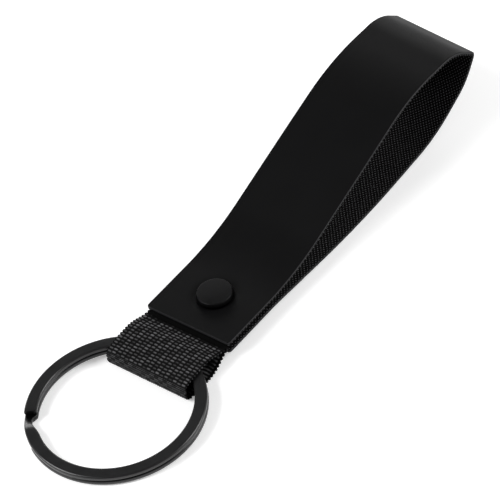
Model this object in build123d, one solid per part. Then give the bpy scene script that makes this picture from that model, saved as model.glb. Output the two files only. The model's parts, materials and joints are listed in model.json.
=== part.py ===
"""Key fob: a folded strap riveted over a webbing tab that holds a flat-wire split ring.

Working frame: X runs from the strap's cut ends (x = 0) to its fold, Y across the strap, Z up from
the surface the fob lies on. The finished pieces are moved so that the origin is the bottom centre
of the whole object.
"""
from build123d import *
import math
import os

# strap: a coated cover with a woven lining bonded to its inner face
STRAP_WIDTH = 20.0
COVER_THICKNESS = 0.5
LINING_THICKNESS = 0.3
GLUE_LINE = 0.02
LOOP_LENGTH = 83.9          # cut ends to the furthest corner of the fold
LOOP_HEIGHT = 17.5          # highest corner of the outline above the surface
CLAMP_LENGTH = 14.4         # stretch where the two halves lie flat on the webbing
STRAP_CORNER = 0.6          # rounding of the cut ends' corners

# webbing tab: one strip, folded round the ring, both ends between the strap's ends
WEBBING_INSET = 0.25        # each side of the webbing inside the strap's edges
PLY = 0.5
PLY_SLIT = 0.04
TAIL_LENGTH = 13.5          # how far the two plies reach into the strap
FLEX_SETBACK = 1.2          # strap ends to the line the tab bends about
FLEX_GAP = 0.4              # between the tab's rounded nose and the clamped plies
RING_PLAY = 0.3             # room round the ring inside the fold
FOLD_SLACK = 2.0            # room between the ring's inner edge and the fold
FOLD_BEND = 1.3             # outer radius of the two corners of the fold
CLAMP_MIDDLE = 2.75         # height of the plane between the two plies

# split ring: flat wire, two coils
RING_DIAMETER = 35.0
WIRE_WIDTH = 2.5
RING_THICKNESS = 2.2
COIL_GAP = 0.02
WIRE_EDGE = 0.35            # rounding of the wire's edges
RING_SETBACK = 4.65         # strap ends to the ring's nearest edge
RING_TILT = 1.66            # degrees, nose down away from the strap
LOWER_START = 152.0         # ring angles, degrees from +X towards +Y
RISE_START = 125.6
PINCH_END = 142.0
PINCH = 1.0                 # how much narrower the wire is where it rises, on its inner side
UPPER_END = 124.6
FREE_END_ARC = 75.0         # the stretch of the upper coil that can be pried up
FREE_END_GAP = 0.05

# double-cap rivet
RIVET_PLACE = 8.8           # strap ends to the rivet's centre
CAP_DIAMETER = 7.5
CAP_HEIGHT = 1.15
CAP_WALL = 0.75             # height of the cap's upright side
CAP_SHOULDER = 0.35
SHEET = 0.3
SEAT_GAP = 0.02
TUBE_DIAMETER = 3.0
SHANK_DIAMETER = 1.9
SHANK_CLEARANCE = 0.03
HOLE_CLEARANCE = 0.15       # round the tube, in every layer it passes

WEBBING_WIDTH = STRAP_WIDTH - 2 * WEBBING_INSET
LAYERS = COVER_THICKNESS + GLUE_LINE + LINING_THICKNESS
CLAMP_TOP = CLAMP_MIDDLE + PLY + SEAT_GAP + LAYERS
CLAMP_BOTTOM = CLAMP_MIDDLE - PLY - SEAT_GAP - LAYERS
HOLE_RADIUS = TUBE_DIAMETER / 2 + HOLE_CLEARANCE
RING_RADIUS = RING_DIAMETER / 2
RING_CENTRE = -(RING_SETBACK + RING_RADIUS)
COIL = (RING_THICKNESS - COIL_GAP) / 2
RISE = COIL + COIL_GAP
SLOPE = math.tan(math.radians(RING_TILT))

# The cover's outer outline, from the upper cut end round the fold to the lower one. Each corner is
# (share of the way from clamp to fold, share of the height, how much of the shorter run it rounds).
TEARDROP = [
    (0.68, 1.0, 0.48),
    (0.908, 0.969, 0.47),
    (1.0, 0.68, 0.18),
    (0.941, 0.386, 0.47),
    (0.773, 0.08, 0.47),
    (0.39, -0.025, 0.47),
]
TOP_LIFT = 6.5              # clamp's end to the corner where the upper half lifts
TOP_SHARE = 0.405
BOTTOM_SHARE = 0.14


# The bend from the lower coil to the upper one: share of the way to PINCH_END, share of the rise,
# share of the pinch.
RISE_SHAPE = [
    (0, 0, 0),
    (0.12, 0.12, 0.55),
    (0.25, 0.5, 1.0),
    (0.38, 0.88, 0.9),
    (0.5, 1, 0.6),
    (0.7, 1, 0.2),
    (1, 1, 0),
]


def outline():
    """Corners and rounding shares of the cover's outer outline, in the XZ plane."""
    reach = LOOP_LENGTH - CLAMP_LENGTH
    lift = (CLAMP_LENGTH + TOP_LIFT, CLAMP_TOP)
    inner = [(CLAMP_LENGTH + x * reach, z * LOOP_HEIGHT) for x, z, _ in TEARDROP]
    corners = [(0, CLAMP_TOP), lift, *inner, (CLAMP_LENGTH, CLAMP_BOTTOM), (0, CLAMP_BOTTOM)]
    shares = [TOP_SHARE, *[share for _, _, share in TEARDROP], BOTTOM_SHARE]
    return [Vector(x, z) for x, z in corners], shares


def turn_at(before, corner, after):
    """Signed turn of a route at a corner, in radians, positive to the left."""
    a, b = corner - before, after - corner
    return math.atan2(a.X * b.Y - a.Y * b.X, a.dot(b))


def route(corners, shares, inward):
    """The outline moved inward (to its right), with bends that keep their centres."""
    last = len(corners) - 1
    runs = [(corners[i + 1] - corners[i]).normalized() for i in range(last)]
    sides = [Vector(run.Y, -run.X) for run in runs]
    points, radii = [corners[0] + sides[0] * inward], []
    for i in range(1, last):
        turn = turn_at(corners[i - 1], corners[i], corners[i + 1])
        shorter = min((corners[i] - corners[i - 1]).length, (corners[i + 1] - corners[i]).length)
        radius = shares[i - 1] * shorter / math.tan(abs(turn) / 2)
        radii.append(radius + math.copysign(inward, turn))
        middle = (sides[i - 1] + sides[i]).normalized()
        points.append(corners[i] + middle * inward / math.cos(turn / 2))
    points.append(corners[-1] + sides[-1] * inward)
    return FilletPolyline(*points, radius=radii)


def strap_layer(near, far):
    """One layer of the strap, between two depths below its outer face."""
    corners, shares = outline()
    outer, inner = route(corners, shares, near), route(corners, shares, far)
    face = make_face([outer, Line(outer @ 0, inner @ 0), inner, Line(inner @ 1, outer @ 1)])
    layer = extrude(Plane.XZ * face, amount=STRAP_WIDTH / 2, both=True)
    ends = layer.edges().filter_by(Axis.Z).filter_by(lambda edge: edge.center().X < STRAP_CORNER)
    return fillet(ends, STRAP_CORNER) - rivet_hole()


def rivet_hole():
    return Pos(RIVET_PLACE, 0, CLAMP_MIDDLE) * Cylinder(HOLE_RADIUS, 4 * (CLAMP_TOP - CLAMP_MIDDLE))


def strap_cover():
    return strap_layer(0, COVER_THICKNESS)


def strap_lining():
    return strap_layer(COVER_THICKNESS + GLUE_LINE, LAYERS)


def webbing_tail():
    """The two plies between the strap's ends, one strip joined at the mouth by the bend line."""
    nose = -FLEX_SETBACK + PLY + FLEX_GAP
    length = TAIL_LENGTH - nose
    plies = Pos(nose + length / 2, 0, CLAMP_MIDDLE) * Box(length, WEBBING_WIDTH, 2 * PLY)
    slit = Pos(TAIL_LENGTH / 2 + PLY, 0, CLAMP_MIDDLE) * Box(TAIL_LENGTH, WEBBING_WIDTH, PLY_SLIT)
    return plies - slit - rivet_hole()


def under_ring(x):
    """Height of the ring's lower face above the surface at x; its far edge touches the surface."""
    return (x - RING_CENTRE + RING_RADIUS) * SLOPE


def webbing_loop():
    """The fold round the ring: an outline with a pocket, and a round nose on the bend line."""
    ring_inner = RING_RADIUS - WIRE_WIDTH
    edge_reach = math.sqrt(ring_inner ** 2 - (WEBBING_WIDTH / 2) ** 2)
    tip = RING_CENTRE + edge_reach - FOLD_SLACK
    throat = -RING_SETBACK + RING_PLAY
    low, high = under_ring(tip) - RING_PLAY, under_ring(tip) + RING_THICKNESS + RING_PLAY
    rise = (throat - tip) * SLOPE
    nose = (-FLEX_SETBACK, CLAMP_MIDDLE)
    pocket = Polygon(
        nose, (throat, high + rise), (tip, high), (tip, low), (throat, low + rise), align=None
    )
    skin = offset(pocket, PLY, kind=Kind.INTERSECTION)
    fold = skin.vertices().filter_by(lambda corner: corner.X < tip)
    skin = fillet(fold, FOLD_BEND)
    pocket = fillet(pocket.vertices().filter_by(lambda corner: corner.X < tip + PLY), FOLD_BEND - PLY)
    beyond_nose = Pos(nose[0] + LOOP_LENGTH / 2, nose[1]) * Rectangle(LOOP_LENGTH, LOOP_LENGTH)
    barrel = Pos(*nose) * Circle(PLY)
    section = skin - pocket - beyond_nose + barrel
    return extrude(Plane.XZ * section, amount=WEBBING_WIDTH / 2, both=True)


def wire_section():
    return RectangleRounded(WIRE_WIDTH, COIL, WIRE_EDGE)


def coil(start, end, level):
    """A flat stretch of coil between two ring angles, its middle at a height in the ring."""
    middle = RING_RADIUS - WIRE_WIDTH / 2
    section = Plane.XZ * Pos(middle, level) * wire_section()
    return Rot(0, 0, start) * revolve(section, Axis.Z, revolution_arc=end - start)


def rising_wire():
    """The offset bend that takes the wire from the lower coil to the upper one."""
    sections = []
    for share, height, pinch in RISE_SHAPE:
        angle = math.radians(RISE_START + share * (PINCH_END - RISE_START))
        out = Vector(math.cos(angle), math.sin(angle))
        along = Vector(-math.sin(angle), math.cos(angle))
        width = WIRE_WIDTH - pinch * PINCH
        place = out * (RING_RADIUS - width / 2) + Vector(0, 0, COIL / 2 + height * RISE)
        section = RectangleRounded(width, COIL, WIRE_EDGE)
        sections.append(Plane(place, x_dir=out, z_dir=along) * section)
    return loft(sections, ruled=True)


def on_webbing(shape):
    """Put a piece of the ring, made flat about the origin, where the ring lies."""
    return Pos(RING_CENTRE, 0, RING_RADIUS * SLOPE) * Rot(0, -RING_TILT, 0) * shape


def ring_wire():
    fixed_end = UPPER_END + 360 - FREE_END_ARC
    cut = math.degrees(FREE_END_GAP / RING_RADIUS)
    lower = coil(LOWER_START - 360, RISE_START, COIL / 2)
    upper = coil(PINCH_END, fixed_end - cut, COIL / 2 + RISE)
    return on_webbing(lower + rising_wire() + upper)


def ring_free_end():
    return on_webbing(coil(UPPER_END - FREE_END_ARC, UPPER_END, COIL / 2 + RISE))


def crown_radius():
    """Radius of the sphere that the cap's outer crown is part of."""
    crown = CAP_HEIGHT - CAP_WALL
    return ((CAP_DIAMETER / 2) ** 2 + crown ** 2) / (2 * crown)


def cap_shell():
    """A sheet cap with an upright side and a low spherical crown, open below, resting on z = 0."""
    radius, ball = CAP_DIAMETER / 2, crown_radius()
    middle = Pos(0, 0, CAP_HEIGHT - ball)
    upright = Pos(0, 0, CAP_HEIGHT / 2)
    outside = upright * Cylinder(radius, CAP_HEIGHT) & middle * Sphere(ball)
    rims = outside.edges().filter_by(lambda edge: edge.is_closed)
    outside = fillet(rims.sort_by(Axis.Z)[-1], CAP_SHOULDER)
    return outside - (upright * Cylinder(radius - SHEET, CAP_HEIGHT) & middle * Sphere(ball - SHEET))


def flange():
    """A disc of sheet inside the cap, as wide as fits under its crown."""
    ball = crown_radius()
    under_crown = math.sqrt((ball - SHEET) ** 2 - (SHEET + SEAT_GAP + ball - CAP_HEIGHT) ** 2)
    radius = min(CAP_DIAMETER / 2 - SHEET, under_crown) - SEAT_GAP
    return Pos(0, 0, SHEET / 2) * Cylinder(radius, SHEET)


def on_top(shape):
    return Pos(RIVET_PLACE, 0, CLAMP_TOP) * shape


def on_bottom(shape):
    return Pos(RIVET_PLACE, 0, CLAMP_BOTTOM) * Rot(180, 0, 0) * shape


def rivet_front_cap():
    return on_top(cap_shell())


def rivet_back_cap():
    return on_bottom(cap_shell())


def rivet_socket():
    """The front half's flange and tube, which the post's shank is pressed into."""
    depth = CLAMP_TOP - CLAMP_BOTTOM - SEAT_GAP
    bore = SHANK_DIAMETER / 2 + SHANK_CLEARANCE
    tube = Pos(0, 0, -depth / 2) * Cylinder(TUBE_DIAMETER / 2, depth)
    body = flange() + tube
    return on_top(body - Pos(0, 0, -depth / 2) * Cylinder(bore, 2 * (depth + SHEET)))


def rivet_post():
    """The back half's flange and solid shank."""
    depth = CLAMP_TOP - CLAMP_BOTTOM
    return on_bottom(flange() + Pos(0, 0, -depth / 2) * Cylinder(SHANK_DIAMETER / 2, depth))


PIECES = {
    "strap_cover": strap_cover,
    "strap_lining": strap_lining,
    "webbing_tail": webbing_tail,
    "webbing_loop": webbing_loop,
    "ring_wire": ring_wire,
    "ring_free_end": ring_free_end,
    "rivet_front_cap": rivet_front_cap,
    "rivet_socket": rivet_socket,
    "rivet_post": rivet_post,
    "rivet_back_cap": rivet_back_cap,
}


def main():
    shapes = {name: make() for name, make in PIECES.items()}
    boxes = [shape.bounding_box() for shape in shapes.values()]
    middle = (min(b.min.X for b in boxes) + max(b.max.X for b in boxes)) / 2
    to_origin = Pos(-middle, 0, -min(b.min.Z for b in boxes))
    os.makedirs("parts", exist_ok=True)
    for name, shape in shapes.items():
        export_step(to_origin * shape, f"parts/{name}.step")
    print(f"moved by {-middle:.4f} in X and {to_origin.position.Z:.4f} in Z")


if __name__ == "__main__":
    main()
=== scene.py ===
"""Key fob: a folded coated strap, riveted over a webbing tab that holds a flat-wire split ring.

Lengths inside the shape functions are in millimetres; meshes are built in metres in the row frame.
"""
import json
import math

import bpy
import numpy as np
from bpy.props import FloatProperty, FloatVectorProperty, PointerProperty
from mathutils import Matrix, Vector


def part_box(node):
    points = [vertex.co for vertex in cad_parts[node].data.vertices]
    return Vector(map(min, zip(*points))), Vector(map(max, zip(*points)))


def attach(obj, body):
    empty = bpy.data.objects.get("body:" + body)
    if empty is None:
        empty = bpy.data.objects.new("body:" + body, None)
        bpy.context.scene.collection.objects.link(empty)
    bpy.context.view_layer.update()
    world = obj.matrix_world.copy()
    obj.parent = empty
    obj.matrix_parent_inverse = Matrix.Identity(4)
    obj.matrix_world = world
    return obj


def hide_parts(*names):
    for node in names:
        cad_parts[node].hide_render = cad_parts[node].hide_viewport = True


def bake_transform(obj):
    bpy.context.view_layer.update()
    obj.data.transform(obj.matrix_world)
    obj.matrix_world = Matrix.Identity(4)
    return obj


bl_info = {
    "name": "Key Fob",
    "version": (1, 0, 0),
    "blender": (4, 5, 0),
    "location": "3D View > Sidebar > Key Fob",
    "description": "Builds a riveted strap key fob with a webbing tab and a split ring",
    "category": "Add Mesh",
}

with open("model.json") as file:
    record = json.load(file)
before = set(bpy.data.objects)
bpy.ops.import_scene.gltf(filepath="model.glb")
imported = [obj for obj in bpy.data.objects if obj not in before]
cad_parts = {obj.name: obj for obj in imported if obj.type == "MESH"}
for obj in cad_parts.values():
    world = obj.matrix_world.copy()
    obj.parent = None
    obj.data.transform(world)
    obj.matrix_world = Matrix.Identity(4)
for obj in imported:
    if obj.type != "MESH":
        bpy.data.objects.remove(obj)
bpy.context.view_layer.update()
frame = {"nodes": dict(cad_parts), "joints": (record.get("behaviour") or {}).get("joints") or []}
MM = 0.001


def joint(name):
    return next(entry for entry in frame["joints"] if entry["name"] == name)


def node_box(name):
    """Lowest and highest corners of a CAD node, in millimetres."""
    low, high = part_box(name)
    return np.array(low) / MM, np.array(high) / MM


COVER_LOW, COVER_HIGH = node_box("strap_cover")
TAIL_LOW, TAIL_HIGH = node_box("webbing_tail")
FOLD_LOW, FOLD_HIGH = node_box("webbing_loop")
CAP_LOW, CAP_HIGH = node_box("rivet_front_cap")
BACK_LOW, BACK_HIGH = node_box("rivet_back_cap")
MOUTH = COVER_LOW[0]
CLAMP = (TAIL_LOW[2] + TAIL_HIGH[2]) / 2
RIVET_X = (CAP_LOW[0] + CAP_HIGH[0]) / 2


# ---------------------------------------------------------------- sizes and colours

def size(name, value, description, low=0.0):
    """A length in millimetres that can be changed in the sidebar."""
    return FloatProperty(name=name, default=float(value), min=low, description=description)


def colour(name, value, description):
    return FloatVectorProperty(
        name=name, default=value, size=3, subtype="COLOR", min=0, max=1, description=description
    )


def share(name, value, description):
    return FloatProperty(
        name=name, default=value, min=0, max=1, subtype="FACTOR", description=description
    )


class StrapSizes(bpy.types.PropertyGroup):
    width: size("Width", COVER_HIGH[1] - COVER_LOW[1], "Strap width, mm")
    cover: size("Cover", 0.5, "Thickness of the coated cover, mm")
    lining: size("Lining", 0.3, "Thickness of the woven lining, mm")
    glue: size("Glue line", 0.02, "Gap between cover and lining, mm")
    corner: size("Corner", 0.6, "Rounding of the cut ends' corners, mm")
    edge: size("Edge", 0.12, "Rounding along the cover's edges, mm")
    loop_length: size("Loop length", 84.2, "Cut ends to the fold's furthest corner, mm")
    loop_height: size("Loop height", 17.5, "Highest corner of the outline, mm")
    clamp_length: size("Clamp length", 14.4, "Flat stretch over the webbing, mm")
    top_lift: size("Lift", 6.5, "From the clamp to where the upper half lifts, mm")
    dimple: size("Dimple", 0.16, "How deep the rivet presses into the cover, mm")
    skew: size("Skew", 0.9, "How far the fold's edges lie before and behind each other, mm")


class WebbingSizes(bpy.types.PropertyGroup):
    width: size("Width", TAIL_HIGH[1] - TAIL_LOW[1], "Webbing width, mm")
    ply: size("Ply", 0.5, "Webbing thickness, mm")
    tail: size("Tail", TAIL_HIGH[0] - MOUTH, "Length clamped in the strap, mm")
    row: size("Row pitch", 0.78, "Distance from one crosswise rib to the next, mm")
    column: size("Column pitch", 1.06, "Distance from one lengthwise yarn to the next, mm")
    relief: size("Relief", 0.24, "Depth of the weave, mm")
    fold_bend: size("Fold bend", 1.3, "Outer radius of the fold's two corners, mm")
    upper_slip: size("Upper slip", 0.5, "How far the upper ply bows to the far side, mm")
    lower_slip: size("Lower slip", 0.4, "How far the lower ply bows to the near side, mm")


class RingSizes(bpy.types.PropertyGroup):
    radius: size("Radius", 17.5, "Outer radius of the ring, mm")
    wire: size("Wire width", 2.5, "Width of the flat wire, mm")
    thickness: size("Thickness", 2.2, "Both coils together, mm")
    gap: size("Coil gap", 0.02, "Gap between the coils, mm")
    edge: size("Edge", 0.4, "Rounding of the wire's edges, mm")
    pinch: size("Pinch", 1.0, "How much narrower the wire is where it rises, mm")
    lower_start: size("Lower end", 152.0, "Ring angle of the lower coil's end, degrees")
    rise_start: size("Rise start", 125.6, "Ring angle where the wire starts to rise, degrees")
    pinch_end: size("Pinch end", 142.0, "Ring angle where it is full width again, degrees")
    upper_end: size("Upper end", 124.6, "Ring angle of the upper coil's free end, degrees")
    split: size("Hidden split", 35.0, "Ring angle, under the webbing, where the piece divides")


class RivetSizes(bpy.types.PropertyGroup):
    radius: size("Radius", (CAP_HIGH[0] - CAP_LOW[0]) / 2, "Radius of the cap, mm")
    height: size("Height", CAP_HIGH[2] - CAP_LOW[2], "Height of the cap, mm")
    sheet: size("Sheet", 0.3, "Thickness of the cap's sheet, mm")
    crown: size("Crown", 0.07, "Rise of the cap's face, mm")
    shoulder: size("Shoulder", 0.12, "Rounding between face and side, mm")
    flare: size("Flare", 0.27, "How much wider the cap is at its foot, mm")


class Finishes(bpy.types.PropertyGroup):
    cover: colour("Cover", (0.0025, 0.0025, 0.0027), "Coated cover")
    # A painted highlight along the cover's cut edge.
    painted_edge_highlight: colour("Cut edge", (0.02, 0.02, 0.021), "Cover's cut edge")
    # The lining's colours: a painted sheen on its lengthwise yarns, painted shade round them.
    lining_yarn_and_sheen: colour("Lining yarn", (0.058, 0.058, 0.06), "Lining where a yarn lies on top")
    lining_painted_shade: colour("Lining hollow", (0.0002, 0.0002, 0.0002), "Lining between the yarns")
    # The webbing's colours: a painted sheen on its ribs, painted shade between them.
    web_yarn_and_sheen: colour("Webbing yarn", (0.095, 0.095, 0.098), "Webbing on its ribs")
    web_painted_shade: colour("Webbing hollow", (0.0002, 0.0002, 0.0002), "Webbing between its ribs")
    metal: colour("Ring", (0.012, 0.012, 0.0125), "Black coat of the ring")
    rivet: colour("Rivet", (0.016, 0.016, 0.0165), "Gunmetal of the rivet")
    roughness: share("Cover roughness", 0.5, "How matt the cover is")


class StageSizes(bpy.types.PropertyGroup):
    azimuth: FloatProperty(name="Azimuth", default=-44.35, description="Camera azimuth, degrees")
    elevation: FloatProperty(name="Elevation", default=44.27, description="Elevation, degrees")
    roll: FloatProperty(name="Roll", default=-11.5, description="Camera roll, degrees")
    distance: size("Distance", 600.0, "Camera to its target, mm")
    lens: size("Lens", 226.52, "Focal length on a 36 mm sensor, mm")
    target: FloatVectorProperty(
        name="Target", default=(-4.207, -2.75, 9.994), description="What the camera looks at, mm"
    )
    lamps: size("Lamps", 0.6, "Share of the lamps' full power")
    world: size("World", 0.2, "Brightness of the surroundings as a light")
    backdrop: size("Backdrop", 0.6, "Brightness of the surroundings as seen")


# ---------------------------------------------------------------- shapes

# The cover's outer outline beyond the clamp: share of the way from clamp to fold, share of the
# loop's height above the surface, how much of the shorter run each corner rounds.
TEARDROP = [
    (0.68, 1.0, 0.48),
    (0.908, 0.969, 0.47),
    (1.0, 0.68, 0.18),
    (0.941, 0.386, 0.47),
    (0.773, 0.08, 0.47),
    (0.39, -0.025, 0.47),
]
TOP_SHARE = 0.405
BOTTOM_SHARE = 0.14


def outline(strap, webbing):
    """Corners and rounding shares of the cover's outer outline, x from the mouth and z from the
    clamp's middle plane."""
    stack = webbing.ply + strap.lining + strap.cover + 2 * strap.glue
    reach = strap.loop_length - strap.clamp_length
    ground = BACK_LOW[2] + CAP_HIGH[2]
    floor = -ground / 2
    start = strap.clamp_length
    middle = [(start + x * reach, floor + z * strap.loop_height) for x, z, _ in TEARDROP]
    lift = (start + strap.top_lift, stack)
    corners = [(0, stack), lift, *middle, (start, -stack), (0, -stack)]
    return corners, [TOP_SHARE, *[share for _, _, share in TEARDROP], BOTTOM_SHARE]


def heading_route(corners, shares):
    """A route of straight runs and tangent arcs, as its heading against the distance along it.

    Each arc takes its share of the shorter run beside its corner, so its length is
    share * run * turn / tan(turn / 2). The heading is level on a run and changes evenly on an arc,
    and the place is the running sum of (cos, sin) of the heading.
    """
    corners = np.array(corners, float)
    runs = np.diff(corners, axis=0)
    lengths = np.hypot(*runs.T)
    headings = np.unwrap(np.arctan2(runs[:, 1], runs[:, 0]))
    turns = np.diff(headings)
    cut = np.array(shares) * np.minimum(lengths[:-1], lengths[1:])
    arcs = cut * np.abs(turns) / np.tan(np.abs(turns) / 2)
    straight = lengths - np.r_[0, cut] - np.r_[cut, 0]
    knots = np.cumsum(np.r_[0, np.c_[straight, np.r_[arcs, 0]].ravel()])[:-1]
    levels = np.repeat(headings, 2)
    fine = np.linspace(0, knots[-1], 20001)
    angle = np.interp(fine, knots, levels)
    step = fine[1]
    middle = (angle[1:] + angle[:-1]) / 2
    x = corners[0, 0] + np.r_[0, np.cumsum(np.cos(middle)) * step]
    z = corners[0, 1] + np.r_[0, np.cumsum(np.sin(middle)) * step]
    return {"s": fine, "x": x, "z": z, "heading": angle, "length": knots[-1]}


def along(route, s):
    """Place and heading of a route at distances s."""
    return [np.interp(s, route["s"], route[key]) for key in ("x", "z", "heading")]


def flat_section(width, thickness, radius, top, bottom, support=0.05, steps=4):
    """Points round the section of a flat strip, as (across, depth): along the top from left to
    right, round two corners, back along the bottom and round the other two. Corners are quarter
    circles, and a point close beside each keeps the flat sides flat."""
    half, turn = width / 2 - radius, np.linspace(0, np.pi / 2, steps + 1)
    upper = np.r_[-half, np.linspace(-half + support, half - support, top), half]
    lower = np.r_[half, np.linspace(half - support, -half + support, bottom), -half]
    deep = thickness - radius
    parts = [
        np.c_[upper, np.zeros_like(upper)],
        np.c_[half + radius * np.sin(turn[1:]), radius - radius * np.cos(turn[1:])],
        np.c_[half + radius * np.cos(turn), deep + radius * np.sin(turn)],
        np.c_[lower[1:], np.full(len(lower) - 1, thickness)],
        np.c_[-half - radius * np.sin(turn[1:]), deep + radius * np.cos(turn[1:])],
        np.c_[-half - radius * np.cos(turn), radius - radius * np.sin(turn)][:-1],
    ]
    return np.concatenate(parts)


def signed_volume(points, quads):
    """Six times the volume inside quads, positive when they face outwards."""
    a, b, c, d = (points[quads[:, k]] for k in range(4))
    return (a * (np.cross(b, c) + np.cross(c, d))).sum()


def skin(name, loops, uv=None, values=None, closed=False):
    """A closed mesh over sections loops[i, j], in metres: quads between one section and the next,
    round and round, with the first and last section filled, or joined when closed is true.
    uv[i, j] is the pattern's place, with one more column than the sections for the seam."""
    n, m, _ = loops.shape
    i, j = np.meshgrid(np.arange(n if closed else n - 1), np.arange(m), indexing="ij")
    i, j = i.ravel(), j.ravel()
    ahead, beside = (i + 1) % n, (j + 1) % m
    quads = np.c_[i * m + j, i * m + beside, ahead * m + beside, ahead * m + j]
    points = loops.reshape(-1, 3)
    flip = signed_volume(points - points.mean(0), quads) < 0
    if flip:
        quads = quads[:, ::-1]
    ends = [] if closed else [np.arange(m)[::-1], (n - 1) * m + np.arange(m)]
    ends = [end[::-1] if flip else end for end in ends]
    mesh = bpy.data.meshes.new(name)
    mesh.from_pydata(points.tolist(), [], quads.tolist() + [end.tolist() for end in ends])
    if uv is not None:
        corner = np.stack([uv[i, j], uv[i, j + 1], uv[i + 1, j + 1], uv[i + 1, j]], 1)
        corner = corner[:, ::-1] if flip else corner
        fill = [uv[0, :m][::-1], uv[-1, :m]]
        fill = [part[::-1] if flip else part for part in fill][: len(ends)]
        flat = np.concatenate([corner.reshape(-1, 2), *fill])
        mesh.uv_layers.new(name="UVMap").data.foreach_set("uv", flat.astype(np.float32).ravel())
    for key, value in (values or {}).items():
        layer = mesh.attributes.new(key, "FLOAT", "POINT")
        layer.data.foreach_set("value", np.asarray(value, np.float32).ravel())
    smooth = np.r_[np.ones(len(quads), bool), np.zeros(len(ends), bool)]
    mesh.polygons.foreach_set("use_smooth", smooth)
    mesh.validate()
    piece = bpy.data.objects.new(name, mesh)
    bpy.context.collection.objects.link(piece)
    return piece


def section_uv(s, section):
    """Pattern places in centimetres: the distance along the strip and the distance round it."""
    closed = np.vstack([section, section[:1]])
    round_it = np.r_[0, np.cumsum(np.hypot(*np.diff(closed, axis=0).T))]
    middle = round_it[np.argmin(np.abs(section[: len(section) // 3, 0]))]
    u, v = np.meshgrid(s, round_it - middle, indexing="ij")
    return np.stack([u, v], -1) / 10


def strip(name, route, s, section, side, narrow=None, sink=None, values=None, shift=None):
    """A flat strip carried along a route in the XZ plane. The place of a section point is the
    route's place, plus its depth along the inward normal (to the right of the heading for side 1,
    to the left for side -1), with its across value along Y. narrow scales the width at each s,
    sink is added to the depth at each point, and shift is added to x, or to (x, y) for a pair."""
    x, z, heading = along(route, s)
    depth = np.broadcast_to(section[:, 1], (len(s), len(section))).copy()
    if sink is not None:
        depth += sink
    across = np.outer(np.ones(len(s)) if narrow is None else narrow, section[:, 0])
    slide, aside = (0, 0) if shift is None else shift
    loops = np.stack(
        [
            MOUTH + x[:, None] + side * np.sin(heading)[:, None] * depth + slide,
            across + aside,
            CLAMP + z[:, None] - side * np.cos(heading)[:, None] * depth,
        ],
        -1,
    )
    return skin(name, loops * MM, section_uv(s, section), values)


def end_spacing(length, corner, inner, coarse):
    """Distances along a strip, close together at both ends where its corners are rounded: there
    they follow 1 - cos, so they are even round the corner."""
    lead = corner * (1 - np.cos(np.linspace(0, np.pi / 2, 9)))
    middle = np.linspace(corner, length - corner, int((length - 2 * corner) / coarse))
    return np.unique(np.r_[lead, inner, middle, length - lead])


def corner_narrowing(s, length, width, corner):
    """Width share near the cut ends: the half width loses corner - sqrt(corner^2 - run^2), with
    run the distance short of the rounding's centre."""
    run = corner - np.minimum(np.minimum(s, length - s), corner)
    return 1 - (corner - np.sqrt(np.maximum(corner**2 - run**2, 0))) / (width / 2)


# Distances beyond the clamp between which the fold's skew grows from nothing to full, mm.
SKEW_RUN = (30, 60)


def fold_skew(strap, route, s, across):
    """Shift along X that puts the fold's far edge ahead of its near edge. It grows with the
    distance from the strap's middle line and, as a smooth step, towards the fold."""
    x = along(route, s)[0]
    start, full = (strap.clamp_length + run for run in SKEW_RUN)
    t = np.clip((x - start) / (full - start), 0, 1)
    return np.outer(strap.skew * t * t * (3 - 2 * t), across / (strap.width / 2))


# Painted shade on the wire: near black round a place past the rise's start, in degrees,
# and near the gap between the coils, in mm.
SHADE_PLACE, SHADE_REACH, SHADE_GAP = 1.5, 3.2, 0.32


def wire_sweep(name, ring, start, end, ends_round=(True, True)):
    """The ring's flat wire between two ring angles: a rounded rectangle carried round the ring's
    axis. Its level follows a smooth step through the rise, and its inner edge moves out by a
    smooth bump there. Near a cut end the section shrinks a little, which rounds the end. The
    attribute side is 1 where shade is painted on the wire: round the rise's start and near the
    gap between the coils."""
    coil = (ring.thickness - ring.gap) / 2
    angles = np.arange(start, end, 0.9)
    lip = np.degrees(0.1 / ring.radius)
    soft = np.array([0, 0.3, 0.65, 1.0]) * lip
    angles = np.unique(np.r_[start, start + soft, angles, end - soft, end])
    angles = angles[(angles >= start) & (angles <= end)]
    level, pinch = rise_of_wire(ring, angles)
    section = flat_section(ring.wire, coil, ring.edge, 9, 9, support=0.06, steps=5)
    section = section * [1, -1] + [0, coil]
    radial = section[:, 0][None, :] + ring.wire / 2
    height = section[:, 1][None, :] - coil / 2
    close = np.minimum(
        (angles - start) / lip if ends_round[0] else 9, (end - angles) / lip if ends_round[1] else 9
    )
    shrink = 0.08 * (1 - np.sqrt(1 - (1 - np.clip(close, 0, 1)) ** 2))
    width = ring.wire - ring.pinch * pinch
    radial = radial * ((width - 2 * shrink) / ring.wire)[:, None] + shrink[:, None]
    height = height * (1 - 2 * shrink / coil)[:, None]
    radius = ring.radius - (width[:, None] - radial)
    lift = height + coil / 2 + level[:, None] * (coil + ring.gap)
    turn = np.radians(angles)[:, None]
    local = np.stack([radius * np.cos(turn), radius * np.sin(turn), lift], -1)
    past_start = angles % 360 - ring.rise_start
    # Painted shade round the rise's start and, below, in the gap between the coils.
    rise_painted_shade = np.exp(-((past_start - SHADE_PLACE) / SHADE_REACH) ** 2)[:, None]
    from_gap = (1 - level[:, None]) * (coil - section[:, 1]) + level[:, None] * section[:, 1]
    side = np.maximum(rise_painted_shade, np.clip(1 - from_gap / SHADE_GAP, 0, 1))
    return skin(name, place_ring(ring, local) * MM, values={"side": side})


def rise_of_wire(ring, angles):
    """Level, 0 to 1, and pinch, 0 to 1, of the wire at ring angles: both smooth steps."""
    span = ring.pinch_end - ring.rise_start
    t = (angles - ring.rise_start) / span

    def step(low, high):
        x = np.clip((t - low) / (high - low), 0, 1)
        return x * x * (3 - 2 * x)

    return step(0, 0.95), step(-0.06, 0.26) * (1 - step(0.3, 1.3))


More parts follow.
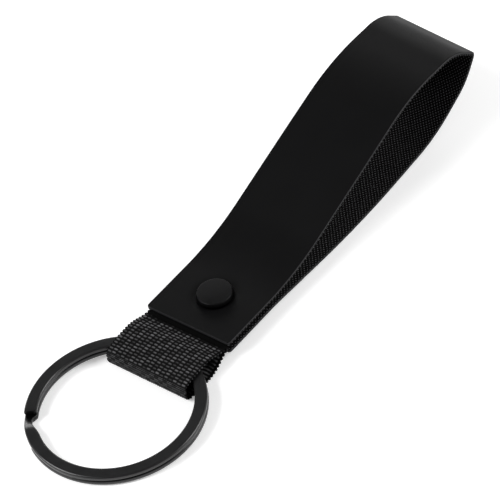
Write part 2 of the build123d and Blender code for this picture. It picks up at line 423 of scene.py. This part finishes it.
def place_ring(ring, local):
    """Ring coordinates, in mm about the ring's axis, to the row frame."""
    spin = joint("ring_spin")
    axis = np.array(spin["axis"], float)
    ahead = np.cross([0, 1, 0], axis)
    middle = np.array(spin["pos_m"], float) / MM - axis * ring.thickness / 2
    return middle + local[..., :1] * ahead + local[..., 1:2] * [0, 1, 0] + local[..., 2:] * axis


def lathe(name, profile, centre, up, shade_below, turns=96):
    """A profile of (radius, height) points turned about the vertical through centre; up is 1 or
    -1. The first and last points lie close to the axis, and their small circles are filled. The
    attribute side is 1 below the height shade_below, over a tenth of a millimetre; the material
    paints shade there."""
    angle = np.linspace(0, 2 * np.pi, turns, endpoint=False)
    radius, height = np.array(profile).T
    loops = np.stack(
        [
            centre[0] + np.outer(radius, np.cos(angle)),
            centre[1] + np.outer(radius, np.sin(angle)),
            np.repeat(centre[2] + up * height[:, None], turns, axis=1),
        ],
        -1,
    )
    # Painted shade on the cap's side, below shade_below.
    side = np.repeat(np.clip((shade_below - height) / 0.1, 0, 1), turns)
    return skin(name, loops * MM, values={"side": side})


def cap_profile(rivet):
    """A low cap: a face that rises as a parabola, a small round shoulder, a side that widens to
    its foot, and the same again inside at the sheet's thickness."""
    top = rivet.radius - rivet.flare
    face = top - rivet.shoulder
    r = np.linspace(0.04, face, 14)
    outer = np.c_[r, rivet.height - rivet.crown * (r / face) ** 2]
    turn = np.linspace(0, np.pi / 2, 7)[1:]
    edge = rivet.height - rivet.crown - rivet.shoulder
    shoulder = np.c_[face + rivet.shoulder * np.sin(turn), edge + rivet.shoulder * np.cos(turn)]
    foot = [
        (top + 0.03, edge - 0.05),
        (rivet.radius - 0.03, 0.12),
        (rivet.radius, 0.05),
        (rivet.radius - 0.04, 0),
    ]
    inner_face = face - rivet.sheet * 0.6
    inside = [(rivet.radius - 0.1 - rivet.sheet, 0), (top - rivet.sheet, edge * 0.6)]
    r = np.linspace(inner_face, 0.04, 8)
    under = np.c_[r, rivet.height - rivet.sheet - rivet.crown * (r / face) ** 2]
    return np.vstack([outer, shoulder, foot, inside, under])


# ---------------------------------------------------------------- materials

NODE_SETTINGS = {
    "operation", "blend_type", "data_type", "noise_dimensions", "feature", "attribute_name",
    "uv_map", "node_tree", "interpolation_type", "use_clamp",
}


def put(tree, kind, **values):
    """A shader node. Values named like its inputs are set, or linked when they are sockets; any
    other value is set on the node itself."""
    made = tree.nodes.new("ShaderNode" + kind)
    for key in NODE_SETTINGS & values.keys():
        setattr(made, key, values[key])
    for key, value in values.items():
        names = [s.name for s in made.inputs]
        if key[0] == "i" and key[1:].isdigit():
            target = made.inputs[int(key[1:])]
        elif key.replace("_", " ") in names:
            target = made.inputs[key.replace("_", " ")]
        else:
            continue
        if isinstance(value, bpy.types.NodeSocket):
            tree.links.new(value, target)
        else:
            target.default_value = value
    return made


def maths(tree, operation, a, b=0.0, clamp=False):
    return put(tree, "Math", operation=operation, i0=a, i1=b, use_clamp=clamp).outputs[0]


def mix(tree, factor, low, high):
    """A colour between low and high."""
    made = put(tree, "Mix", data_type="RGBA")
    for index, value in ((0, factor), (6, low), (7, high)):
        if isinstance(value, bpy.types.NodeSocket):
            tree.links.new(value, made.inputs[index])
        else:
            made.inputs[index].default_value = value
    return made.outputs[2]


def smooth_range(tree, value, low, high):
    """A smooth step from 0 at low to 1 at high."""
    return put(
        tree, "MapRange", Value=value, From_Min=low, From_Max=high, interpolation_type="SMOOTHSTEP"
    ).outputs[0]


def shader_group(name, inputs, outputs):
    """An empty node group with float or vector inputs and float outputs."""
    tree = bpy.data.node_groups.new(name, "ShaderNodeTree")
    for label, kind, default in inputs:
        socket = tree.interface.new_socket(label, in_out="INPUT", socket_type="NodeSocket" + kind)
        if default is not None:
            socket.default_value = default
    for label in outputs:
        tree.interface.new_socket(label, in_out="OUTPUT", socket_type="NodeSocketFloat")
    return tree, tree.nodes.new("NodeGroupInput"), tree.nodes.new("NodeGroupOutput")


def grain_group():
    """Fine grain on any surface: two sizes of noise, weighed by Coarse, about 0.5."""
    found = bpy.data.node_groups.get("Grain")
    if found:
        return found
    tree, given, made = shader_group(
        "Grain",
        [("Vector", "Vector", None), ("Scale", "Float", 100.0), ("Coarse", "Float", 0.3)],
        ["Value"],
    )
    fine = put(tree, "TexNoise", Vector=given.outputs[0], Scale=given.outputs[1], Detail=4.0)
    wide_scale = maths(tree, "MULTIPLY", given.outputs[1], 0.11)
    wide = put(tree, "TexNoise", Vector=given.outputs[0], Scale=wide_scale, Detail=2.0)
    part = maths(tree, "MULTIPLY", wide.outputs[0], given.outputs[2])
    rest = maths(tree, "MULTIPLY", fine.outputs[0], maths(tree, "SUBTRACT", 1.0, given.outputs[2]))
    tree.links.new(maths(tree, "ADD", part, rest), made.inputs[0])
    return tree


def crossing_group():
    """Plain weave: sin(along) * sin(across) is positive where a lengthwise yarn lies on top and
    negative where a crosswise one does. Height is its size, and Top is 1 on lengthwise yarns."""
    found = bpy.data.node_groups.get("Crossing yarns")
    if found:
        return found
    tree, given, made = shader_group(
        "Crossing yarns",
        [("Vector", "Vector", None), ("Along", "Float", 8.0), ("Across", "Float", 8.0),
         ("Wander", "Float", 0.02)],
        ["Height", "Top"],
    )
    wander = put(tree, "TexNoise", Vector=given.outputs[0], Scale=3.0, Detail=1.0)
    centred = maths(tree, "SUBTRACT", wander.outputs[0], 0.5)
    shift = maths(tree, "MULTIPLY", centred, given.outputs[3])
    parts = put(tree, "SeparateXYZ", Vector=given.outputs[0])

    def wave(axis, count):
        place = maths(tree, "ADD", parts.outputs[axis], shift)
        yarns = maths(tree, "MULTIPLY", place, count)
        return maths(tree, "SINE", maths(tree, "MULTIPLY", yarns, math.pi))

    both = maths(tree, "MULTIPLY", wave(0, given.outputs[1]), wave(1, given.outputs[2]))
    height = maths(tree, "POWER", maths(tree, "ABSOLUTE", both), 0.6)
    tree.links.new(height, made.inputs[0])
    tree.links.new(smooth_range(tree, both, 0.3, 0.85), made.inputs[1])
    return tree


def material(name, **sockets):
    """A material with a Principled shader; sockets are its constant values."""
    made = bpy.data.materials.new(name)
    made.use_nodes = True
    tree = made.node_tree
    tree.nodes.clear()
    shader = put(tree, "BsdfPrincipled", **sockets)
    output = tree.nodes.new("ShaderNodeOutputMaterial")
    tree.links.new(shader.outputs[0], output.inputs[0])
    return made, tree, shader


def bump(tree, shader, height, strength, distance):
    made = put(tree, "Bump", Height=height, Strength=strength, Distance=distance)
    tree.links.new(made.outputs[0], shader.inputs["Normal"])


def rgba(value):
    return (*value, 1.0)


def group_node(tree, group, **values):
    return put(tree, "Group", node_tree=group, **values)


def cover_material(finish):
    """Coated strip: matt, with fine grain, faint patches in its sheen and a painted highlight along
    its cut edge.
    """
    made, tree, shader = material("Coated cover", Specular_IOR_Level=0.075)
    place = put(tree, "UVMap", uv_map="UVMap").outputs[0]
    grain = group_node(tree, grain_group(), Vector=place, Scale=95.0, Coarse=0.25).outputs[0]
    # Painted highlight along the cut edge, from the mask the cover's mesh carries.
    edge = put(tree, "Attribute", attribute_name="painted_edge_highlight").outputs["Fac"]
    patch = put(tree, "TexNoise", Vector=place, Scale=0.9, Detail=3.0).outputs[0]
    dark = tuple(0.82 * c for c in finish.cover)
    base = mix(tree, patch, rgba(dark), rgba(tuple(1.2 * c for c in finish.cover)))
    tree.links.new(mix(tree, edge, base, rgba(finish.painted_edge_highlight)), shader.inputs["Base Color"])
    low, high = finish.roughness - 0.05, finish.roughness + 0.06
    rough = put(tree, "MapRange", Value=patch, To_Min=low, To_Max=high)
    tree.links.new(rough.outputs[0], shader.inputs["Roughness"])
    bump(tree, shader, grain, 0.25, 0.00003)
    return made


def lining_material(finish):
    """Coarse plain-woven nylon in its weave pattern: a painted sheen on the lengthwise yarns and
    painted shade, near black, round them.
    """
    made, tree, shader = material(
        "Woven lining", Specular_IOR_Level=0.06
    )
    place = put(tree, "UVMap", uv_map="UVMap").outputs[0]
    weave = group_node(tree, crossing_group(), Vector=place, Along=22.0, Across=25.0, Wander=0.012)
    height, top = weave.outputs
    strands = put(tree, "TexNoise", Vector=place, Scale=120.0, Detail=2.0).outputs[0]
    gleam = maths(tree, "ADD", maths(tree, "MULTIPLY", strands, 0.8), 0.6)
    lit = maths(tree, "MULTIPLY", top, gleam)
    # Painted sheen on the lengthwise yarns, painted shade round them.
    base = mix(tree, lit, rgba(finish.lining_painted_shade), rgba(finish.lining_yarn_and_sheen))
    tree.links.new(base, shader.inputs["Base Color"])
    rough = put(tree, "MapRange", Value=top, To_Min=0.8, To_Max=0.45)
    tree.links.new(rough.outputs[0], shader.inputs["Roughness"])
    total = maths(tree, "ADD", maths(tree, "MULTIPLY", height, 0.4), top)
    bump(tree, shader, total, 0.9, 0.00012)
    return made


def webbing_material(finish):
    """Nylon webbing with its ribbed weave: painted shade, near black, between its ribs, and a
    painted sheen on them, where it is also smoother, with fine strands.
    """
    made, tree, shader = material(
        "Ribbed webbing", Specular_IOR_Level=0.1
    )
    place = put(tree, "UVMap", uv_map="UVMap").outputs[0]
    relief = put(tree, "Attribute", attribute_name="relief").outputs["Fac"]
    long = put(tree, "Mapping", Vector=place)
    long.inputs["Scale"].default_value = (220.0, 30.0, 1.0)
    strands = put(tree, "TexNoise", Vector=long.outputs[0], Scale=1.0, Detail=2.0).outputs[0]
    crest = smooth_range(tree, relief, 0.5, 1.02)
    lit = maths(tree, "MULTIPLY", crest, maths(tree, "ADD", strands, 0.5), clamp=True)
    # Painted shade in the hollows, painted sheen on the ribs' crests.
    base = mix(tree, lit, rgba(finish.web_painted_shade), rgba(finish.web_yarn_and_sheen))
    tree.links.new(base, shader.inputs["Base Color"])
    rough = put(tree, "MapRange", Value=relief, To_Min=0.85, To_Max=0.45)
    tree.links.new(rough.outputs[0], shader.inputs["Roughness"])
    bump(tree, shader, strands, 0.5, 0.00004)
    return made


def metal_material(name, tint, scale, low, high, metallic, gloss, coat):
    """Dark coated metal: satin, with fine grain in its roughness and a faint uneven surface. Where
    the attribute side is 1 it has painted shade: near black, and without its coat."""
    made, tree, shader = material(
        name, Metallic=metallic, Specular_IOR_Level=gloss, Coat_Roughness=0.16
    )
    place = put(tree, "TexCoord").outputs["Object"]
    grain = group_node(tree, grain_group(), Vector=place, Scale=scale, Coarse=0.5).outputs[0]
    base = mix(tree, grain, rgba(tuple(0.8 * c for c in tint)), rgba(tuple(1.2 * c for c in tint)))
    side = put(tree, "Attribute", attribute_name="side").outputs["Fac"]
    # Painted shade: near black where side is 1.
    base = mix(tree, side, base, rgba(tuple(0.04 * c for c in tint)))
    if coat:
        # Where shade is painted the coat fades out.
        coat_outside_shade = put(tree, "MapRange", Value=side, To_Min=coat, To_Max=0.0)
        tree.links.new(coat_outside_shade.outputs[0], shader.inputs["Coat Weight"])
    tree.links.new(base, shader.inputs["Base Color"])
    rough = put(tree, "MapRange", Value=grain, From_Min=0.3, From_Max=0.7, To_Min=low, To_Max=high)
    tree.links.new(rough.outputs[0], shader.inputs["Roughness"])
    bump(tree, shader, grain, 0.12, 0.00003)
    return made


def ring_material(finish):
    return metal_material("Black coated wire", finish.metal, 3500.0, 0.28, 0.42, 0.45, 0.42, 0.3)


def rivet_material(finish):
    return metal_material("Gunmetal cap", finish.rivet, 4500.0, 0.36, 0.48, 0.95, 0.1, 0.0)


def wear(piece, made, body, slot, *nodes):
    """Give a piece its material and body, and hide the CAD nodes it stands for. The slot is not
    used.
    """
    piece.data.materials.clear()
    piece.data.materials.append(made)
    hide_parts(*nodes)
    if body:
        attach(piece, body)
    return piece


# ---------------------------------------------------------------- operators

class FOB_OT_cover(bpy.types.Operator):
    """Build the coated cover"""
    bl_idname = "fob.cover"
    bl_label = "Cover"

    def execute(self, context):
        scene = context.scene
        strap, webbing = scene.fob_strap, scene.fob_webbing
        route = heading_route(*outline(strap, webbing))
        length = route["length"]
        near = np.linspace(0.8, 15.5, 66)
        s = end_spacing(length, strap.corner, np.r_[near, length - near], 0.45)
        section = flat_section(strap.width, strap.cover, strap.edge, 78, 24)
        x = along(route, s)[0][:, None]
        away = np.hypot(x - (RIVET_X - MOUTH), section[:, 0][None, :])
        rim = scene.fob_rivet.radius
        bowl = np.exp(-np.clip(away - rim + 0.3, 0, None) ** 2 / 1.1)
        top = 1 - np.clip(section[:, 1] / strap.edge, 0, 1)
        flank = np.clip((np.minimum(s, length - s) - 0.2) / 1.0, 0, 1)[:, None]
        sink = strap.dimple * bowl * top * flank
        # Painted highlight: the mask covers the cover's side walls and its cut ends.
        outermost = np.abs(section[:, 0]) > strap.width / 2 - strap.edge
        cut = (section[:, 1] > strap.edge * 0.4) & outermost
        cut = np.broadcast_to(cut, (len(s), len(section))).astype(float).copy()
        cut[(s < 0.05) | (s > length - 0.05)] = 1
        narrow = corner_narrowing(s, length, strap.width, strap.corner)
        shift = fold_skew(strap, route, s, section[:, 0]), 0
        piece = strip("cover", route, s, section, 1, narrow, sink, {"painted_edge_highlight": cut}, shift)
        wear(piece, cover_material(scene.fob_finish), "strap", "coated_cover", "strap_cover")
        return {"FINISHED"}


class FOB_OT_lining(bpy.types.Operator):
    """Build the woven lining"""
    bl_idname = "fob.lining"
    bl_label = "Lining"

    def execute(self, context):
        scene = context.scene
        strap, webbing = scene.fob_strap, scene.fob_webbing
        route = heading_route(*outline(strap, webbing))
        s = end_spacing(route["length"], strap.corner, [], 0.5)
        section = flat_section(strap.width - 0.08, strap.lining, 0.08, 24, 24)
        section = section + [0, strap.cover + strap.glue]
        narrow = corner_narrowing(s, route["length"], strap.width, strap.corner)
        shift = fold_skew(strap, route, s, section[:, 0]), 0
        piece = strip("lining", route, s, section, 1, narrow, shift=shift)
        wear(piece, lining_material(scene.fob_finish), "strap", "woven_lining", "strap_lining")
        return {"FINISHED"}


class FOB_OT_webbing(bpy.types.Operator):
    """Build the webbing tab, one strip from clamp to clamp round the ring"""
    bl_idname = "fob.webbing"
    bl_label = "Webbing"

    def execute(self, context):
        scene = context.scene
        webbing = scene.fob_webbing
        route = heading_route(*webbing_outline(webbing))
        s = np.linspace(0, route["length"], int(route["length"] / 0.115))
        bend = 0.16
        section = flat_section(webbing.width, webbing.ply - 0.02, bend, 150, 30, support=0.03)
        relief = webbing_relief(webbing, route, s, section[:, 0])
        top = 1 - np.clip(section[:, 1] / bend, 0, 1) ** 2
        sink = webbing.relief * (1 - relief) * top
        flank = np.clip((np.abs(section[:, 0]) - webbing.width / 2 + 0.5) / 0.5, 0, 1)
        rib = webbing_rib(webbing, s, np.zeros(1))
        aside = -SELVEDGE_WAVE * (1 - rib) * flank[None, :] * np.sign(section[:, 0])[None, :]
        x = along(route, s)[0]
        slip = np.where(s < route["length"] / 2, webbing.upper_slip, -webbing.lower_slip)
        out = np.clip(x / (FOLD_LOW[0] - MOUTH), 0, 1)
        aside = aside + (slip * np.sin(np.pi * out))[:, None]
        piece = strip(
            "webbing", route, s, section, -1, None, sink, {"relief": relief}, (0, aside)
        )
        made = webbing_material(scene.fob_finish)
        wear(piece, made, None, "webbing", "webbing_tail", "webbing_loop")
        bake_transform(piece)
        return {"FINISHED"}


# How far the webbing's selvedges draw in between its ribs, mm.
SELVEDGE_WAVE = 0.3


def webbing_outline(webbing):
    """The webbing's outer outline from one clamped end to the other: level under the strap's upper
    half, down a little at the mouth, up over the ring, round the blunt fold and back below."""
    tip = FOLD_LOW[0] - MOUTH
    top = FOLD_HIGH[2] - CLAMP
    low = FOLD_LOW[2] - CLAMP
    end = webbing.tail
    corners = [
        (end, webbing.ply),
        (0.9, webbing.ply),
        (-1.2, webbing.ply - 0.2),
        (-4.7, top - 0.04),
        (tip, top - 0.26),
        (tip, low),
        (-4.9, low + 0.2),
        (-1.2, -webbing.ply - 0.32),
        (0.9, -webbing.ply),
        (end, -webbing.ply),
    ]
    run = top - 0.26 - low
    bend = webbing.fold_bend / run
    return corners, [0.4, 0.4, 0.35, bend, bend, 0.4, 0.4, 0.4]


def webbing_rib(webbing, s, across):
    """Ridge of the crosswise ribs, 0 in the hollow and 1 on the crest: sqrt(1 - x^2) across each
    rib, with a hollow beside it and neighbouring columns a little out of step."""
    column = np.floor(across / webbing.column)
    stagger = 0.14 * (column % 2) + 0.04 * np.sin(column * 7.1)
    x = 2 * ((s[:, None] / webbing.row + stagger[None, :]) % 1) - 1
    return np.sqrt(1 - np.clip(np.abs(1.3 * x), 0, 1) ** 2.2)


def webbing_relief(webbing, route, s, across):
    """Weave height, 0 to 1: the ribs, parted by grooves between the lengthwise yarns. The grooves
    are deep near the strap and shallow towards the fold, where the ribs stand apart. The fold's
    face has a finer, lower weave, each stretch of yarn has a height of its own, and the ribs
    fade out where the webbing comes from under the strap. Since the colour follows this height,
    that fading is also painted shade under the strap's edge."""
    rib = webbing_rib(webbing, s, across)
    x, _, heading = along(route, s)
    open_up = np.clip((-x - 2.0) / 8.0, 0, 1)[:, None]
    groove = np.abs(2 * ((across / webbing.column) % 1) - 1) ** 4
    height = rib ** (0.8 + 0.6 * open_up) * (1 - groove[None, :] * (0.85 - 0.25 * open_up))
    row = np.floor(s / webbing.row)[:, None]
    column = np.floor(across / webbing.column)[None, :]
    height = height * (0.84 + 0.16 * np.sin(row * 12.9 + column * 7.3) * np.sin(column * 4.1 + row))
    fine = np.outer(np.sin(2 * np.pi * s / 0.46), np.sin(2 * np.pi * across / 0.5))
    fine = 0.58 + 0.36 * fine + 0.1 * np.sin(row * 3.7 + column * 9.1)
    face = np.clip((np.abs(np.sin(heading)) - 0.45) / 0.3, 0, 1)[:, None]
    height = height * (1 - face) + fine * face
    # Painted shade and a sink where the webbing comes from under the strap.
    mouth_sink_and_shade = np.clip((-x - 0.45) / 0.8, 0, 1)
    return np.clip(height * mouth_sink_and_shade[:, None], 0, 1)


class FOB_OT_ring(bpy.types.Operator):
    """Build the split ring's wire in two lengths that meet under the webbing"""
    bl_idname = "fob.ring"
    bl_label = "Ring"

    def execute(self, context):
        scene = context.scene
        ring = scene.fob_ring
        made = ring_material(scene.fob_finish)
        fixed = wire_sweep("ring", ring, ring.lower_start - 360, 360 + ring.split, (True, False))
        wear(fixed, made, "ring", "ring_black", "ring_wire")
        free = wire_sweep("ring_end", ring, 360 + ring.split, 360 + ring.upper_end, (False, True))
        wear(free, made, None, "ring_black", "ring_free_end")
        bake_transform(free)
        return {"FINISHED"}


class FOB_OT_rivet(bpy.types.Operator):
    """Build the rivet's two caps and finish its inner halves"""
    bl_idname = "fob.rivet"
    bl_label = "Rivet"

    def execute(self, context):
        scene = context.scene
        made = rivet_material(scene.fob_finish)
        profile = cap_profile(scene.fob_rivet)
        rivet = scene.fob_rivet
        # Painted shade on each cap's side, from below its shoulder down to its foot.
        shade = rivet.height - rivet.crown - rivet.shoulder
        front = lathe("rivet_cap", profile, (RIVET_X, 0, CAP_LOW[2]), 1, shade)
        wear(front, made, "strap", "rivet_gunmetal", "rivet_front_cap")
        back = lathe("rivet_cap_back", profile, (RIVET_X, 0, BACK_HIGH[2]), -1, shade)
        wear(back, made, "strap", "rivet_gunmetal", "rivet_back_cap")
        for name in ("rivet_socket", "rivet_post"):
            inner = frame["nodes"][name]
            inner.data.materials.clear()
            inner.data.materials.append(made)
        return {"FINISHED"}


def camera_turn(azimuth, elevation, roll):
    """Camera axes in the row frame. Back is (sin a cos e, -cos a cos e, sin e), right is level
    before the roll, and the roll turns right towards up."""
    a, e, r = (math.radians(v) for v in (azimuth, elevation, roll))
    back = Vector((math.sin(a) * math.cos(e), -math.cos(a) * math.cos(e), math.sin(e)))
    level = Vector((0, 0, 1)).cross(back).normalized()
    up = back.cross(level)
    right = math.cos(r) * level + math.sin(r) * up
    return right, back.cross(right), back


def area_light(name, place, towards, width, height, power):
    data = bpy.data.lights.new(name, "AREA")
    data.shape, data.size, data.size_y, data.energy = "RECTANGLE", width, height, power
    lamp = bpy.data.objects.new(name, data)
    lamp.location = place
    lamp.rotation_euler = (Vector(towards) - Vector(place)).to_track_quat("-Z", "Y").to_euler()
    bpy.context.collection.objects.link(lamp)


class FOB_OT_stage(bpy.types.Operator):
    """Set the floor, lights and camera"""
    bl_idname = "fob.stage"
    bl_label = "Stage"

    def execute(self, context):
        scene = context.scene
        stage = scene.fob_stage
        set_floor()
        set_world(scene, stage.world, stage.backdrop)
        scene.view_settings.view_transform = "Standard"
        right, up, back = camera_turn(stage.azimuth, stage.elevation, stage.roll)
        target = Vector(stage.target) * MM
        camera = bpy.data.objects.new("camera", bpy.data.cameras.new("camera"))
        camera.data.lens, camera.data.sensor_width = stage.lens, 36.0
        camera.data.clip_start, camera.data.clip_end = 0.01, 20.0
        turn = Matrix((right, up, back)).transposed().to_4x4()
        camera.matrix_world = Matrix.Translation(target + back * stage.distance * MM) @ turn
        scene.collection.objects.link(camera)
        scene.camera = camera
        power = stage.lamps
        area_light("key", (-0.55, 0.45, 0.6), (0, 0, 0), 0.5, 0.5, 14 * power)
        area_light("side", (0.5, -0.6, 0.5), (0, 0, 0), 0.5, 0.5, 12 * power)
        area_light("back", (0.8, 0.8, 0.3), (0, 0, 0.02), 0.8, 0.4, 6 * power)
        return {"FINISHED"}


def set_floor():
    """A plain pale floor, a square a little below the lowest point."""
    half = 1.5
    corners = [(-half, -half, 0), (half, -half, 0), (half, half, 0), (-half, half, 0)]
    mesh = bpy.data.meshes.new("floor")
    mesh.from_pydata([(x, y, -0.00004) for x, y, _ in corners], [], [(0, 1, 2, 3)])
    floor = bpy.data.objects.new("floor", mesh)
    bpy.context.collection.objects.link(floor)
    made, tree, shader = material(
        "Pale floor", Roughness=0.9, Specular_IOR_Level=0.1, Emission_Strength=0.3
    )
    shader.inputs["Emission Color"].default_value = (1, 1, 1, 1)
    shader.inputs["Base Color"].default_value = (0.93, 0.93, 0.93, 1)
    mesh.materials.append(made)


def set_world(scene, strength, backdrop):
    """Even white surroundings, which light the piece with one strength and are seen with
    another."""
    world = bpy.data.worlds.new("Studio")
    world.use_nodes = True
    tree = world.node_tree
    light = tree.nodes["Background"]
    light.inputs["Color"].default_value = (1, 1, 1, 1)
    light.inputs["Strength"].default_value = strength
    seen = put(tree, "Background", Color=(1, 1, 1, 1), Strength=backdrop)
    direct = put(tree, "LightPath").outputs["Is Camera Ray"]
    both = put(tree, "MixShader", i0=direct, i1=light.outputs[0], i2=seen.outputs[0])
    tree.links.new(both.outputs[0], tree.nodes["World Output"].inputs["Surface"])
    scene.world = world


class FOB_PT_panel(bpy.types.Panel):
    """Buttons for each piece of the key fob"""
    bl_label = "Key Fob"
    bl_idname = "FOB_PT_panel"
    bl_space_type = "VIEW_3D"
    bl_region_type = "UI"
    bl_category = "Key Fob"

    def draw(self, context):
        for name in STEPS:
            self.layout.operator("fob." + name)


STEPS = ("cover", "lining", "webbing", "ring", "rivet", "stage")
GROUPS = {
    "fob_strap": StrapSizes,
    "fob_webbing": WebbingSizes,
    "fob_ring": RingSizes,
    "fob_rivet": RivetSizes,
    "fob_finish": Finishes,
    "fob_stage": StageSizes,
}
CLASSES = (
    *GROUPS.values(), FOB_OT_cover, FOB_OT_lining, FOB_OT_webbing, FOB_OT_ring, FOB_OT_rivet,
    FOB_OT_stage, FOB_PT_panel,
)


def register():
    for entry in CLASSES:
        bpy.utils.register_class(entry)
    for name, group in GROUPS.items():
        setattr(bpy.types.Scene, name, PointerProperty(type=group))


def unregister():
    for name in GROUPS:
        delattr(bpy.types.Scene, name)
    for entry in reversed(CLASSES):
        bpy.utils.unregister_class(entry)


def main():
    register()
    for name in STEPS:
        getattr(bpy.ops.fob, name)()
    bpy.context.view_layer.update()


if __name__ == "__main__":
    main()
